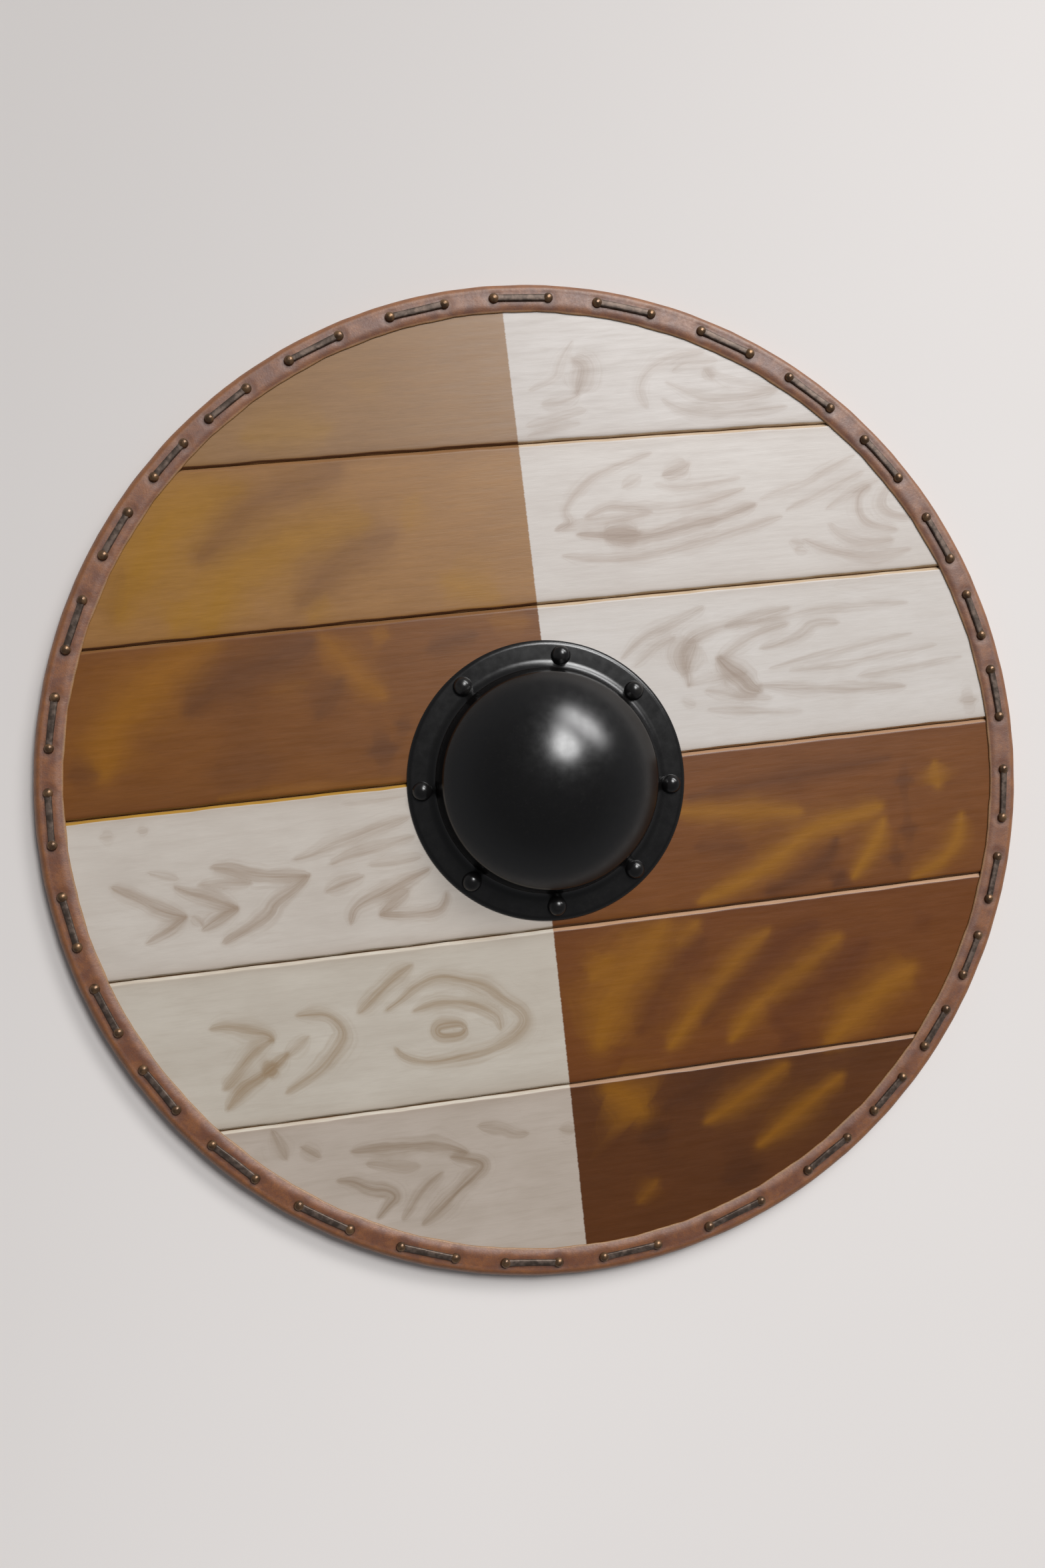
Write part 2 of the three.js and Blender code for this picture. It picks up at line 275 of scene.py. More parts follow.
class Surface:
    """A material's node tree, with short calls for the nodes it is made of."""

    def __init__(self, name, roughness=0.5, metallic=0.0, shine=0.5):
        self.material = bpy.data.materials.new(name)
        self.material.use_nodes = True
        self.tree = self.material.node_tree
        self.shader = self.tree.nodes["Principled BSDF"]
        self.shader.inputs["Roughness"].default_value = roughness
        self.shader.inputs["Metallic"].default_value = metallic
        self.shader.inputs["Specular IOR Level"].default_value = shine
        coordinates = self.tree.nodes.new("ShaderNodeTexCoord")
        self.place = coordinates.outputs["Object"]

    def node(self, kind, inputs=(), output=0, **settings):
        made = self.tree.nodes.new("ShaderNode" + kind)
        for key, value in settings.items():
            setattr(made, key, value)
        for key, value in dict(inputs).items():
            socket = made.inputs[key]
            if isinstance(value, bpy.types.NodeSocket):
                self.tree.links.new(value, socket)
            else:
                socket.default_value = value
        return made.outputs[output]

    def math(self, operation, a, b):
        return self.node("Math", {0: a, 1: b}, operation=operation)

    def times(self, a, b):
        return self.math("MULTIPLY", a, b)

    def stretched(self, x, y, z):
        """The object's own coordinates, in features per metre along each axis."""
        return self.node("Mapping", {"Vector": self.place, "Scale": (x, y, z)})

    def noise(self, vector, detail=3.0, roughness=0.55, distortion=0.0):
        return self.node("TexNoise", {"Vector": vector, "Scale": 1.0, "Detail": detail,
                                      "Roughness": roughness, "Distortion": distortion})

    def band(self, value, low, high):
        """0 below low and 1 above high, with a soft step between."""
        return self.node("MapRange", {"Value": value, "From Min": low, "From Max": high},
                         interpolation_type="SMOOTHSTEP")

    def spread(self, value, low, high):
        """A noise value around 0.5 brought to run from low to high."""
        return self.node("MapRange", {"Value": value, "From Min": 0.3, "From Max": 0.7,
                                      "To Min": low, "To Max": high})

    def mix(self, share, a, b, blend="MIX"):
        return self.node("Mix", {0: share, 6: a, 7: b}, output=2, data_type="RGBA",
                         blend_type=blend)

    def tone(self, colour, value):
        """A colour made darker or lighter by a value around 1."""
        return self.mix(1.0, colour, value, "MULTIPLY")

    def attribute(self, name):
        return self.node("Attribute", output=2, attribute_name=name)

    def split(self):
        parts = self.tree.nodes.new("ShaderNodeSeparateXYZ")
        self.tree.links.new(self.place, parts.inputs[0])
        return parts.outputs

    def finish(self, colour, roughness=None, heights=()):
        """Joins the colour, and bumps given as (height, distance) from coarse to fine."""
        self.tree.links.new(colour, self.shader.inputs["Base Color"])
        if roughness is not None:
            self.tree.links.new(roughness, self.shader.inputs["Roughness"])
        normal = None
        for height, distance in heights:
            inputs = {"Height": height, "Distance": distance, "Strength": 1.0}
            if normal is not None:
                inputs["Normal"] = normal
            normal = self.node("Bump", inputs)
        if normal is not None:
            self.tree.links.new(normal, self.shader.inputs["Normal"])
        return self.material


# ---- The painted face ----

# The quarters of the face: which side is brown on each plank, and where the colours meet, in mm.
BROWN_SIDE = (-1, -1, -1, 1, 1, 1)
MEETING = (6.9, 6.9, 6.9, -7.4, -7.4, -7.4)

# The strokes are in mm on the face: width, strength, then x, y of each place the brush passed.
# PALE_GRAIN is the beige graining of the white quarters, OCHRE and DARK the flames of the brown.
PALE_GRAIN = [
    # first plank, right of the middle
    (4, .5, 54, 305, 43, 290, 40, 280, 20, 272),
    (9, .8, 53, 292, 60, 288, 57, 279, 53, 270),
    (5, .6, 53, 268, 40, 263, 27, 262),
    (5, .5, 57, 256, 36, 252, 14, 248),
    (4, .5, 52, 247, 32, 245, 14, 241),
    (5, .6, 148, 292, 127, 290, 109, 284, 100, 275, 97, 265, 102, 254),
    (5, .5, 157, 285, 136, 285, 124, 279),
    (5, .6, 118, 271, 134, 262, 148, 257, 173, 256, 200, 260),
    (5, .5, 150, 279, 159, 270, 177, 265, 198, 261),
    (5, .6, 114, 259, 123, 252, 141, 247, 168, 245, 205, 247),
    (6, .6, 148, 279, 152, 272),
    # second plank, right
    (4, .6, 100, 221, 77, 215, 59, 209, 49, 202, 39, 194, 33, 184, 39, 177, 27, 173),
    (4, .5, 91, 206, 77, 199),
    (7, .7, 127, 212, 116, 207, 107, 205),
    (4, .5, 164, 199, 136, 197, 114, 194, 100, 199),
    (5, .6, 166, 191, 141, 185, 114, 181, 82, 184, 66, 188, 49, 181),
    (6, .8, 173, 179, 145, 171, 127, 169, 100, 164, 75, 163, 57, 168, 42, 169),
    (7, .9, 85, 166, 72, 167, 60, 168),
    (4, .5, 27, 173, 45, 177, 73, 177, 95, 180),
    (5, .6, 191, 169, 164, 163, 141, 157, 114, 153, 82, 149, 50, 151, 30, 155),
    (4, .5, 252, 209, 227, 199, 209, 190, 177, 182),
    (4, .5, 257, 197, 239, 190, 223, 184, 204, 177, 195, 173),
    (4, .5, 268, 190, 250, 185, 232, 176, 225, 172),
    (5, .6, 261, 186, 252, 181, 249, 170, 252, 161, 261, 156, 277, 152),
    (5, .6, 277, 186, 270, 179, 267, 171, 272, 164, 289, 159),
    (5, .6, 227, 161, 232, 154, 245, 147, 259, 145, 273, 145),
    (5, .6, 206, 151, 218, 144, 232, 139, 250, 135, 268, 135, 286, 137),
    (4, .5, 195, 150, 204, 148),
    (4, .5, 198, 144, 207, 143),
    # third plank, right
    (5, .6, 125, 110, 114, 105, 100, 100, 82, 94, 70, 87, 62, 80),
    (4, .5, 102, 90, 90, 86, 80, 80, 70, 73),
    (6, .6, 188, 104, 168, 101, 148, 97, 130, 93, 116, 89, 108, 82, 106, 72, 109, 62, 108, 55),
    (13, .6, 116, 86, 108, 76, 107, 64),
    (4, .5, 108, 55, 128, 58, 150, 60),
    (4, .5, 278, 99, 240, 99, 204, 100, 180, 97, 160, 95, 140, 94),
    (5, .6, 224, 89, 205, 91, 196, 83, 176, 77, 164, 76),
    (5, .6, 186, 92, 160, 86, 142, 77, 132, 72),
    (8, .9, 132, 72, 138, 64, 148, 56, 152, 50, 160, 46),
    (4, .5, 279, 76, 250, 73, 230, 70, 200, 66, 168, 61),
    (4, .5, 296, 66, 266, 63, 240, 59, 214, 58, 184, 58),
    (4, .5, 316, 56, 290, 53, 260, 49, 236, 49),
    (5, .6, 160, 50, 190, 44, 220, 42, 250, 39, 270, 38),
    (4, .5, 120, 50, 144, 44, 168, 40),
    (4, .5, 102, 45, 112, 41),
    (4, .5, 120, 37, 148, 34, 170, 30, 190, 28),
    (9, .25, 225, 114, 262, 114, 292, 112),
    (10, .6, 312, 24, 323, 24),
    # fourth plank, left
    (5, .5, -308, -4, -300, -4),
    (5, .5, -283, -3, -276, -3),
    (4, .4, -143, 0, -98, 1),
    (5, .6, -98, -14, -122, -19, -140, -24, -154, -27, -170, -32, -181, -34),
    (5, .6, -97, -28, -118, -32, -134, -34, -147, -37, -156, -40),
    (4, .5, -93, -42, -118, -44, -129, -44),
    (5, .6, -134, -51, -150, -55, -161, -59),
    (6, .7, -88, -51, -106, -57, -122, -64, -136, -69, -144, -74, -147, -83),
    (5, .6, -104, -64, -115, -71, -126, -79),
    (5, .7, -126, -80, -104, -82, -86, -82, -80, -76, -78, -69),
    (6, .7, -304, -39, -290, -46, -272, -58, -257, -64),
    (5, .7, -257, -64, -265, -70, -274, -75, -285, -80),
    (4, .5, -279, -32, -268, -36, -259, -39),
    (6, .7, -262, -44, -254, -49, -240, -53, -221, -62),
    (6, .7, -221, -62, -231, -67, -247, -75),
    (4, .5, -253, -64, -247, -71),
    (4, .5, -245, -44, -227, -45, -211, -47),
    (6, .7, -236, -34, -224, -36, -213, -41, -197, -44, -172, -46),
    (6, .7, -172, -47, -181, -55, -197, -63, -199, -69, -213, -76, -233, -85),
    # fifth plank, left
    (6, .7, -249, -143, -239, -142, -223, -147, -209, -151, -208, -157),
    (6, .7, -209, -156, -220, -161, -232, -173, -245, -185),
    (6, .8, -200, -167, -209, -174, -220, -181, -232, -187, -244, -199),
    (6, .9, -208, -173, -216, -178),
    (5, .6, -184, -157, -200, -168),
    (6, .7, -190, -141, -173, -141, -164, -147, -159, -157, -164, -166, -173, -175, -184, -183, -202,
     -193),
    (6, .7, -109, -117, -123, -125, -132, -132, -141, -139, -148, -144),
    (5, .8, -75, -165, -78, -161, -86, -160.5, -94, -161, -97, -165, -94, -169, -86, -169.5, -78, -169,
     -75, -165),
    (5, .7, -111, -149, -95, -145, -77, -147, -64, -151, -52, -159, -51, -168),
    (6, .7, -129, -145, -118, -140, -107, -132, -91, -127, -73, -132, -59, -137, -48, -148, -36, -157,
     -33, -166, -39, -173, -48, -178, -64, -183, -82, -185, -100, -186, -114, -183, -123, -178, -126,
     -173),
    # sixth plank, left
    (6, .7, -164, -240, -141, -241, -123, -242, -107, -243, -95, -247, -84, -252),
    (5, .6, -154, -250, -141, -253, -129, -257, -118, -257),
    (6, .7, -95, -254, -82, -257, -73, -262, -82, -270, -91, -277, -100, -284, -120, -298),
    (5, .6, -102, -264, -111, -270, -120, -277, -127, -286, -133, -293),
    (6, .7, -175, -259, -164, -261, -154, -268, -141, -270, -136, -275, -141, -279, -150, -289),
    (5, .6, -216, -218, -213, -229, -209, -239),
    (5, .6, -198, -232, -186, -241),
    (5, .6, -75, -234, -59, -237, -50, -243, -41, -244),
    (5, .5, -18, -245, -7, -247),
]

OCHRE = [
    # first plank, left
    (22, .6, -180, 258, -155, 260, -125, 258),
    (16, .3, -103, 286, -83, 284),
    # second plank, left
    (34, .9, -277, 145, -270, 163, -254, 181, -243, 200, -218, 213, -190, 221),
    (30, .9, -218, 127, -209, 156, -186, 172, -163, 181, -140, 188, -106, 190),
    (18, .7, -240, 132, -232, 146),
    (12, .6, -150, 128, -140, 142),
    (16, .5, -77, 186, -68, 204),
    (24, .7, -55, 145, -38, 138, -22, 130),
    # third plank, left
    (28, .9, -300, 39, -290, 73, -265, 89, -247, 105, -218, 116),
    (12, .4, -181, 80, -159, 84),
    (15, .8, -145, 116, -129, 96, -118, 80, -106, 71),
    (12, .7, -108, 115, -100, 112),
    (12, .6, -27, 116, -4, 112),
    (6, .6, -225, 12, -160, 13, -100, 11),
    # fourth plank, right
    (12, .8, 92, -33, 135, -38, 180, -42),
    (12, .9, 100, -98, 136, -87, 159, -74, 189, -55, 214, -51, 241, -46),
    (10, .9, 243, -55, 236, -69, 227, -80, 216, -94),
    (12, .8, 286, -19, 288, -35),
    (10, .8, 302, -58, 298, -76, 282, -92, 261, -100),
    # fifth plank, right
    (32, .9, 17, -189, 25, -168, 40, -145, 72, -111),
    (12, .8, 18, -142, 30, -130),
    (12, .8, 82, -125, 96, -113),
    (12, .9, 67, -198, 88, -177, 108, -157, 126, -139, 147, -125),
    (12, .9, 113, -198, 133, -177, 154, -164, 179, -148, 199, -136),
    (20, .9, 183, -211, 201, -198, 217, -184, 235, -173, 251, -166),
    # sixth plank, right
    (28, .9, 20, -222, 33, -230, 42, -240),
    (12, .8, 88, -254, 117, -241, 149, -223),
    (12, .8, 126, -277, 163, -254, 190, -236),
    (10, .5, 33, -304, 47, -291),
]

DARK = [
    # first plank, left
    (5, .3, -150, 287, -80, 294, -10, 302),
    # second plank, left
    (24, .5, -284, 142, -280, 158, -274, 174),
    (28, .8, -218, 177, -197, 195, -181, 209, -152, 218, -122, 229),
    (24, .8, -156, 140, -140, 156, -118, 172, -88, 181),
    # third plank, left
    (28, .8, -238, 73, -222, 89, -197, 96, -168, 105, -152, 112),
    (14, .6, -322, 39, -305, 39),
    (16, .7, -134, 84, -144, 72, -152, 62),
    (18, .9, -118, 34, -104, 35),
    (10, .7, -99, 52, -91, 48),
    (12, .7, -72, 100, -56, 105, -40, 107),
    (36, .5, -225, 30, -190, 30),
    # fourth plank, right
    (10, .7, 100, -24, 160, -19, 250, -12),
    (12, .6, 102, -60, 136, -62),
    (12, .9, 205, -65, 199, -76, 185, -85, 168, -92, 150, -98),
    (12, 1, 207, -90, 201, -98),
    (14, .8, 257, -30, 266, -30),
    (14, .8, 257, -64, 266, -64),
    (14, .8, 246, -83, 254, -83),
    # fifth plank, right
    (20, .8, 47, -184, 65, -157, 85, -136, 99, -125),
    (16, .8, 95, -184, 117, -164, 138, -148, 163, -130, 183, -125),
    (24, .8, 145, -191, 167, -177, 188, -164, 217, -143),
    (16, .8, 150, -208, 160, -202),
    (14, .5, 258, -136, 268, -132),
    # sixth plank, right
    (24, .7, 100, -297, 122, -293),
    (20, .7, 42, -259, 58, -255),
    (16, .6, 60, -240, 100, -222),
]


# How each family is brushed on, as the measures that brushed() takes after its strokes.
PALE_BRUSH = {"widen": 1.8, "tip": 0.3, "edge": 1.7, "sway": 1.0 * MM, "seed": 100}
FLAME_BRUSH = {"widen": 1.3, "tip": 0.4, "edge": 1.5, "sway": 1.5 * MM, "seed": 200}


SWAY_LENGTH, SWAY_WIDTH = 40 * MM, 24 * MM  # how far apart the hand's sways are
HALF_FALL = 0.7  # at its half width a stroke's cover falls to e to the minus this, about a half
OPAQUE = 0.97  # the most that one stroke hides of what lies under it
NOISE_CELLS = 128


def smoothed(numbers):
    """A line through listed points, given as x, y, x, y, with its corners cut twice."""
    line = np.array(numbers, float).reshape(-1, 2) * MM
    for _ in range(2):
        if len(line) > 2:
            first, last = line[:-1], line[1:]
            cut = np.stack([0.75 * first + 0.25 * last, 0.25 * first + 0.75 * last], axis=1)
            line = np.concatenate([line[:1], cut.reshape(-1, 2)[1:-1], line[-1:]])
    return line


def grained(points, length, width, seed):
    """Smooth noise over the face, from -1 to 1, with features of a length along it and a width."""
    table = np.random.default_rng(seed).uniform(-1, 1, (NOISE_CELLS, NOISE_CELLS))
    column, row = points[:, 0] / length + 40.5, points[:, 1] / width + 400.5
    i, j = np.floor(column).astype(int), np.floor(row).astype(int)
    u, v = column - i, row - j
    u, v = u * u * (3 - 2 * u), v * v * (3 - 2 * v)
    i0, i1, j0, j1 = (cell % NOISE_CELLS for cell in (i, i + 1, j, j + 1))
    low = table[i0, j0] * (1 - u) + table[i1, j0] * u
    high = table[i0, j1] * (1 - u) + table[i1, j1] * u
    return low * (1 - v) + high * v


def nearest_on(line, spot):
    """Each point's distance from a line, with its side as the sign, and its place along it."""
    lengths = np.linalg.norm(np.diff(line, axis=0), axis=1)
    starts = np.concatenate([[0], np.cumsum(lengths)])
    distance = np.full(len(spot), np.inf)
    along = np.zeros(len(spot))
    for a, b, start, length in zip(line[:-1], line[1:], starts, lengths):
        away = spot - a
        share = np.clip(away @ (b - a) / max(length, 1e-9) ** 2, 0, 1)
        gap = np.linalg.norm(away - share[:, None] * (b - a), axis=1)
        side = np.sign((b[0] - a[0]) * away[:, 1] - (b[1] - a[1]) * away[:, 0])
        closer = gap < np.abs(distance)
        distance[closer] = (gap * np.where(side == 0, 1, side))[closer]
        along[closer] = start + share[closer] * length
    return distance, along, starts[-1]


def brushed(points, strokes, widen, tip, edge, sway, seed):
    """How much of a family of strokes lies on each point, from 0 to 1, and the point's place in the
    stroke that covers it most: the length along it, different for every stroke, and across it.

    Every stroke is widened by one factor and narrows to a tip, a share of its width. The edge is
    the power of its falloff, and the hand that drew it sways a little."""
    shift = np.stack([grained(points, SWAY_LENGTH, SWAY_WIDTH, seed + i) for i in range(2)], axis=1)
    places = points + sway * shift
    bare = np.ones(len(points))
    most, length, breadth = np.zeros((3, len(points)))
    for order, (width, strength, *numbers) in enumerate(strokes):
        line = smoothed(numbers)
        half = widen * width * MM / 2
        near = np.flatnonzero(np.all((places > line.min(0) - 3 * half)
                                     & (places < line.max(0) + 3 * half), axis=1))
        if not len(near):
            continue
        distance, along, total = nearest_on(line, places[near])
        share = along / max(total, 1e-9)
        swell = tip + (1.1 - tip) * np.sqrt(np.clip(4 * share * (1 - share), 0, 1))
        swell *= 1 + 0.15 * waver(along, 45 * MM, 1, seed + order)
        cover = strength * np.exp(-HALF_FALL * (np.abs(distance) / (half * swell)) ** edge)
        leads = cover > most[near]
        most[near[leads]] = cover[leads]
        length[near[leads]] = along[leads] + order
        breadth[near[leads]] = (distance / swell)[leads]
        bare[near] *= 1 - np.clip(cover, 0, OPAQUE)
    return 1 - bare, length, breadth


# ---- Boards ----

EDGE = BOARD_RADIUS - 0.5 * MM  # the boards' edge, clear of the leather
GROOVE_DEPTH = 2 * MM
COLUMN = 2.4 * MM
ROW = 1.2 * MM
UNDER_ROWS = 5  # rows on the painted side for each row on the back
END_CUT = 0.4 * MM  # the outer planks stop this far inside the edge, where a row still has a length
STAIN_START, STAIN_REACH = 2 * MM, 3.5 * MM  # where the stain beside a joint begins, and its fading
PAINTED, UPPER_EDGE, LOWER_EDGE, BARE = range(4)  # the materials of a plank


def joint_below(index):
    """The joint under a plank: its middle line's height across the planks at x = 0, and its slope."""
    points = corners(PLANKS[index])
    points = points[radii(points) > BOARD_RADIUS - MM]
    left, right = (points[side * points[:, 0] > 0] for side in (-1, 1))
    (x0, y0), (x1, y1) = (half[half[:, 1].argmin(), :2] for half in (left, right))
    slope = (y1 - y0) / (x1 - x0)
    return y0 - slope * x0 - 0.2 * MM, slope


JOINTS = [joint_below(index) for index in range(len(PLANKS) - 1)]

# A plank's rows beside a joint: the distance from the joint in mm, and how far down the chamfer it
# lies. The edge on the upper side of a joint is the steeper.
STRIP = ((0.2, 1.0), (0.5, 0.86), (1.2, 0.52), (1.9, 0.2), (2.3, 0.05), (2.9, 0.0))
LIP = ((0.2, 1.0), (0.4, 0.82), (0.8, 0.48), (1.2, 0.2), (1.6, 0.05), (2.2, 0.0))


def plank_rows(index):
    """Each row across a plank: its share of the way to the upper joint, an offset and a depth."""
    has_lower, has_upper = index < len(JOINTS), index > 0
    low = JOINTS[index][0] if has_lower else -EDGE
    high = JOINTS[index - 1][0] if has_upper else EDGE
    count = int((high - low) / ROW)
    margin = math.ceil(STRIP[-1][0] * MM / ROW)
    rows = [(i / count, 0.0, 0.0) for i in range(margin if has_lower else 0,
                                                 count + 1 - (margin if has_upper else 0))]
    if has_lower:
        rows = [(0.0, d * MM, depth) for d, depth in LIP] + rows
    if has_upper:
        rows += [(1.0, -d * MM, depth) for d, depth in reversed(STRIP)]
    return rows


def plank_grid(index):
    """The corners and faces of one plank before it is drilled."""
    rows = plank_rows(index)
    under = np.linspace(0, len(rows) - 1, len(rows) // UNDER_ROWS).round().astype(int)
    columns = np.linspace(-1, 1, int(2 * EDGE / COLUMN))
    lower = JOINTS[index] if index < len(JOINTS) else (-EDGE + END_CUT, 0)
    upper = JOINTS[index - 1] if index > 0 else (EDGE - END_CUT, 0)
    top = np.zeros((len(columns), len(rows), 3))
    flat = np.zeros_like(top)
    for j, (share, offset, depth) in enumerate(rows):
        middle = lower[0] * (1 - share) + upper[0] * share + offset
        slope = lower[1] * (1 - share) + upper[1] * share
        x = columns * math.sqrt(EDGE ** 2 - middle ** 2)
        x = np.sign(x) * np.sqrt(np.maximum(EDGE ** 2 - (middle + slope * x) ** 2, 0)) * np.abs(columns)
        y = middle + slope * x
        r = np.hypot(x, y)
        flat[:, j] = np.stack([x, y, board_bottom(r)], axis=1)
        if 0 < depth < 1:
            y = y + waver(x, 70 * MM, 0.3 * MM, 10 * index + (offset < 0)) * np.sign(offset)
        top[:, j] = np.stack([x, y, board_top(r) - GROOVE_DEPTH * depth], axis=1)
    loops = np.concatenate([top, flat[:, under[::-1]]], axis=1)
    points, quads = skin(loops)
    around = loops.shape[1]
    faces = [tuple(q) for q in quads]
    for start, flip in ((0, False), (len(points) - around, True)):
        for k, (j0, j1) in enumerate(zip(under[:-1], under[1:])):
            face = [start + j for j in range(j0, j1 + 1)]
            face += [start + around - 2 - k, start + around - 1 - k]
            faces.append(tuple(face[::-1] if flip else face))
    return points, faces


def drill(piece, holes):
    """Cuts upright round holes, each (x, y, radius, low, high, sides), out of a piece."""
    cutters = [turned([(0, low), (radius, low), (radius, high), (0, high)], sides, (x, y))
               for x, y, radius, low, high, sides in holes]
    cutter = mesh_object("drill", *joined(cutters), [])
    cut = piece.modifiers.new("holes", "BOOLEAN")
    cut.object = cutter
    cut.operation = "DIFFERENCE"
    cut.solver = "EXACT"
    graph = bpy.context.evaluated_depsgraph_get()
    mesh = bpy.data.meshes.new_from_object(piece.evaluated_get(graph))
    piece.modifiers.clear()
    bare = piece.data
    piece.data = mesh
    bpy.data.meshes.remove(bare)
    drill_mesh = cutter.data
    bpy.data.objects.remove(cutter)
    bpy.data.meshes.remove(drill_mesh)
    mesh.name = piece.name
    mesh.set_sharp_from_angle(angle=math.radians(35))


def vectors(items, key):
    """One vector of each vertex or face of a mesh, as an array."""
    values = np.zeros(len(items) * 3, np.float32)
    items.foreach_get(key, values)
    return values.reshape(-1, 3)


def vertex_places(mesh):
    return vectors(mesh.vertices, "co").astype(float)


def add_attribute(mesh, name, values):
    made = mesh.attributes.new(name, "FLOAT", "POINT")
    made.data.foreach_set("value", np.asarray(values, np.float32))


def groove_closeness(points):
    """1 at a joint's edge, falling to 0 a few millimetres away from it."""
    nearest = np.full(len(points), np.inf)
    for middle, slope in JOINTS:
        nearest = np.minimum(nearest, np.abs(points[:, 1] - middle - slope * points[:, 0]))
    return np.exp(-np.maximum(nearest - STAIN_START, 0) / STAIN_REACH)


def plank_faces(mesh):
    """The material of each face: paint on top, the two chamfers' own, and bare wood elsewhere."""
    middles, normals = vectors(mesh.polygons, "center"), vectors(mesh.polygons, "normal")
    sunk = board_top(radii(middles)) - middles[:, 2]
    kind = np.where(normals[:, 1] > 0, UPPER_EDGE, LOWER_EDGE)
    kind[(normals[:, 2] > 0.5) & (sunk < 0.12 * MM)] = PAINTED
    kind[(normals[:, 2] < -0.5) | (sunk > 1.1 * GROOVE_DEPTH)] = BARE
    return kind.astype(np.int32)


def add_planks(holes):
    back = bare_board()
    for index, node in enumerate(PLANKS):
        points, faces = plank_grid(index)
        materials = [painted_front(index), strip_paint(index), lip_paint(index), back]
        piece = mesh_object(f"board_{index + 1}", points, faces, materials)
        low, high = points[:, 1].min(), points[:, 1].max()
        drill(piece, [hole for hole in holes if low - hole[2] < hole[1] < high + hole[2]])
        mesh = piece.data
        places = vertex_places(mesh)
        flat = places[:, :2]
        for name, strokes, brush in (("pale", PALE_GRAIN, PALE_BRUSH), ("ochre", OCHRE, FLAME_BRUSH),
                                     ("dark", DARK, FLAME_BRUSH)):
            for part, values in zip(("", "_along", "_across"), brushed(flat, strokes, **brush)):
                add_attribute(mesh, name + part, values)
        sunk = board_top(radii(flat)) - places[:, 2]
        add_attribute(mesh, "joint_edge", groove_closeness(flat))
        add_attribute(mesh, "depth", np.clip(sunk / GROOVE_DEPTH, 0, 1))
        mesh.polygons.foreach_set("material_index", plank_faces(mesh))
        finish_piece(piece, "painted_planks", node)


# ---- Rim ----

CREASE = 343.8 * MM
FOLD_CENTRE = 344.8 * MM
FOLD_SWELL = 0.1 * MM
HEAD_RADIUS = 3.6 * MM
HEAD_HEIGHT = 2.8 * MM
STRAP_HALF_WIDTH = 2.2 * MM
STRAP_BOW = 0.3 * MM  # the most that a strap bends sideways
# Half of a strap's section in mm, from its bedded foot to the top: across and up.
STRAP_SIDE = ((2.2, -0.4), (2.2, 0.75), (1.9, 1.1), (1.4, 1.26))
STRAP_TOP = 1.3
TOP_SHIFT = 0.19 * MM  # the heads lean with the band, so their tops stand this far off the circle
BOWL, TROUGH = 4.5 * MM, 3 * MM  # how far the leather dips round a nail and beside a strap
LIP_RADIUS = 0.8 * MM
NAIL_PRESS = 0.35 * MM
STRAP_PRESS = 0.15 * MM
EDGE_DROP = 1.6 * MM  # the band thins towards its cut edge
EDGE_REACH = 6 * MM


def clip_nails(node):
    """The angles of a clip's two nails, and the radius of the circle that they stand on."""
    points = corners(node)
    tops = points[points[:, 2] > points[:, 2].max() - 0.2 * MM]
    middle = math.atan2(*points.mean(0)[1::-1])
    turn = (np.arctan2(tops[:, 1], tops[:, 0]) - middle + math.pi) % (2 * math.pi) - math.pi
    circle = radii(tops).mean() - TOP_SHIFT
    return middle + turn[turn < 0].mean(), middle + turn[turn > 0].mean(), circle


CLIP_NAILS = [clip_nails(node) for node in CLIPS]


def pressed(angle, r):
    """How far the nails and straps press the leather down at each place on the band."""
    sunk = np.zeros_like(angle)
    for first, last, circle in CLIP_NAILS:
        middle, half = (first + last) / 2, (last - first) / 2
        turn = (angle - middle + math.pi) % (2 * math.pi) - math.pi
        across = r - circle
        for end in (-half, half):
            gap = np.hypot(across, (turn - end) * circle)
            bowl = np.clip(1 - (gap - HEAD_RADIUS) / BOWL, 0, 1)
            sunk = np.maximum(sunk, NAIL_PRESS * bowl ** 2 * (3 - 2 * bowl))
        beyond = np.maximum(np.abs(turn) - half, 0) * circle
        gap = np.hypot(across, beyond)
        trough = np.clip(1 - (gap - STRAP_HALF_WIDTH) / TROUGH, 0, 1)
        sunk = np.maximum(sunk, STRAP_PRESS * trough ** 2 * (3 - 2 * trough))
    return sunk


def rim_section():
    """The strip's section as (radius, height, how much of the surface relief it takes)."""
    lip = LIP_RADIUS
    inner_top, crease_top = band_top(RIM_INNER) - EDGE_DROP, band_top(CREASE)
    section = []
    for a in np.linspace(180, 90, 5):
        c, s = polar(a)
        section.append((RIM_INNER + lip * (1 + c), inner_top - lip * (1 - s), 0.6))
    for r in np.linspace(RIM_INNER + lip, CREASE, 15)[1:]:
        thinned = max(0, 1 - (r - RIM_INNER - lip) / EDGE_REACH)
        section.append((r, band_top(r) - EDGE_DROP * thinned ** 2, 1.0))
    fold_height = crease_top + FOLD_SWELL
    for a in np.linspace(86, -90, 15):
        c, s = polar(a)
        section.append((FOLD_CENTRE + (RIM_OUTER - FOLD_CENTRE) * c, fold_height / 2 * (1 + s),
                        0.5 if s > 0 else 0.0))
    wall = BOARD_RADIUS + 0.4 * MM
    inside = [(RIM_INNER + lip, 0.0), (RIM_INNER, 0.6 * lip),
              (RIM_INNER, board_bottom(RIM_INNER) - 2 * FIT), (wall, board_bottom(wall) - 2 * FIT),
              (wall, board_top(wall) + FIT), (RIM_INNER + 0.3 * MM, board_top(RIM_INNER) + FIT)]
    return section + [(r, z, 0.0) for r, z in inside]


RIM_STATIONS = 1440


